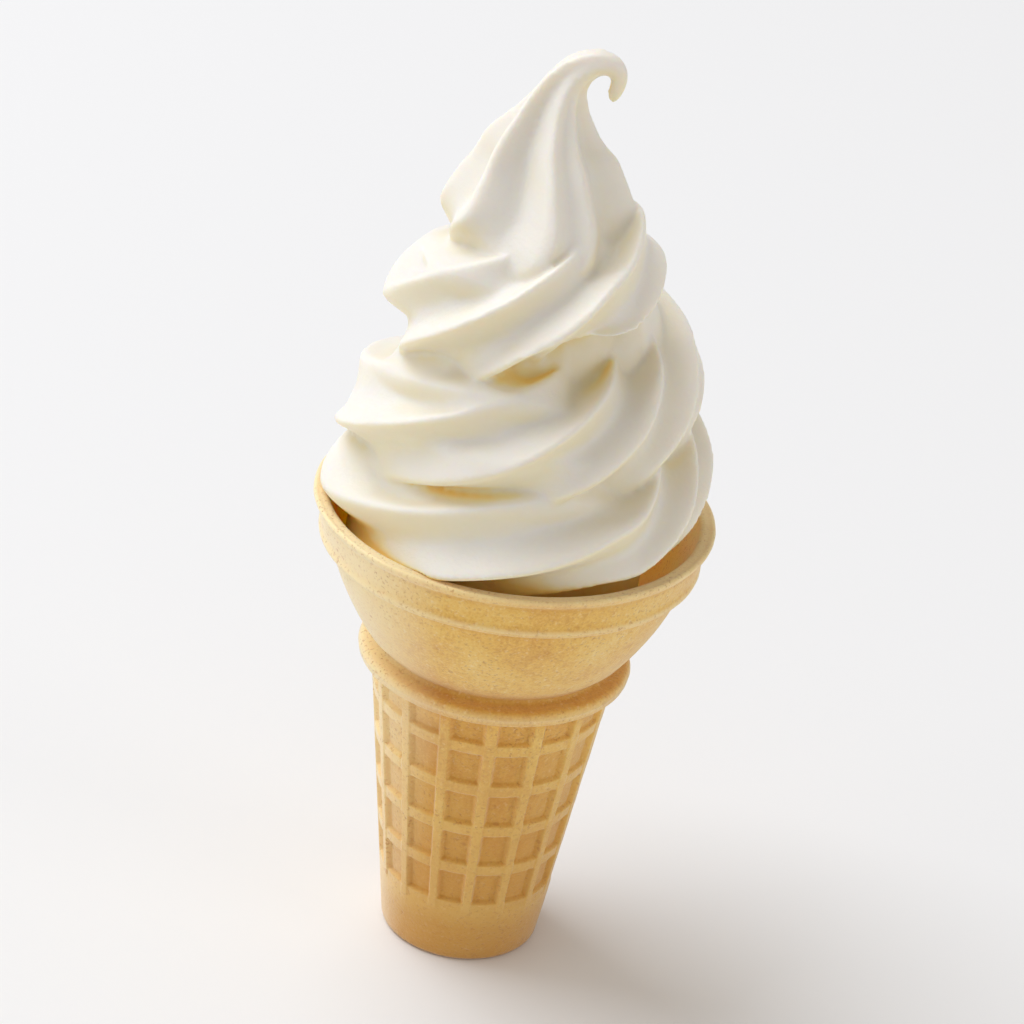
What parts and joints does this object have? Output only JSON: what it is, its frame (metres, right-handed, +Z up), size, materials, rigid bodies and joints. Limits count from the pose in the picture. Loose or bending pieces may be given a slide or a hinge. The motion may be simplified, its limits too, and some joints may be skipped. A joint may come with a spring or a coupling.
{
  "type": "soft serve cone",
  "caption": "Soft serve ice cream piped as a twisting star-ridged swirl with a hooked tip, in a flat-based wafer cup cone with a waffle-patterned wall, a collar and a flared rim.",
  "frame": {"origin": "centre of the wafer cone's flat base, on the surface that it stands on", "axes": "+Z is up along the cone's axis; -Y is the side shown, with the tip of the swirl hooking towards +X"},
  "size_m": [0.076, 0.0766, 0.1857],
  "materials": {
    "wafer": "dry baked wafer, matt, golden tan with fine toasted speckle",
    "soft_serve": "smooth frozen cream, off-white, soft sheen and warm light in its creases"
  },
  "bodies": {
    "root": {"wafer_cone": "wafer", "soft_serve": "soft_serve"}
  },
  "joints": []
}
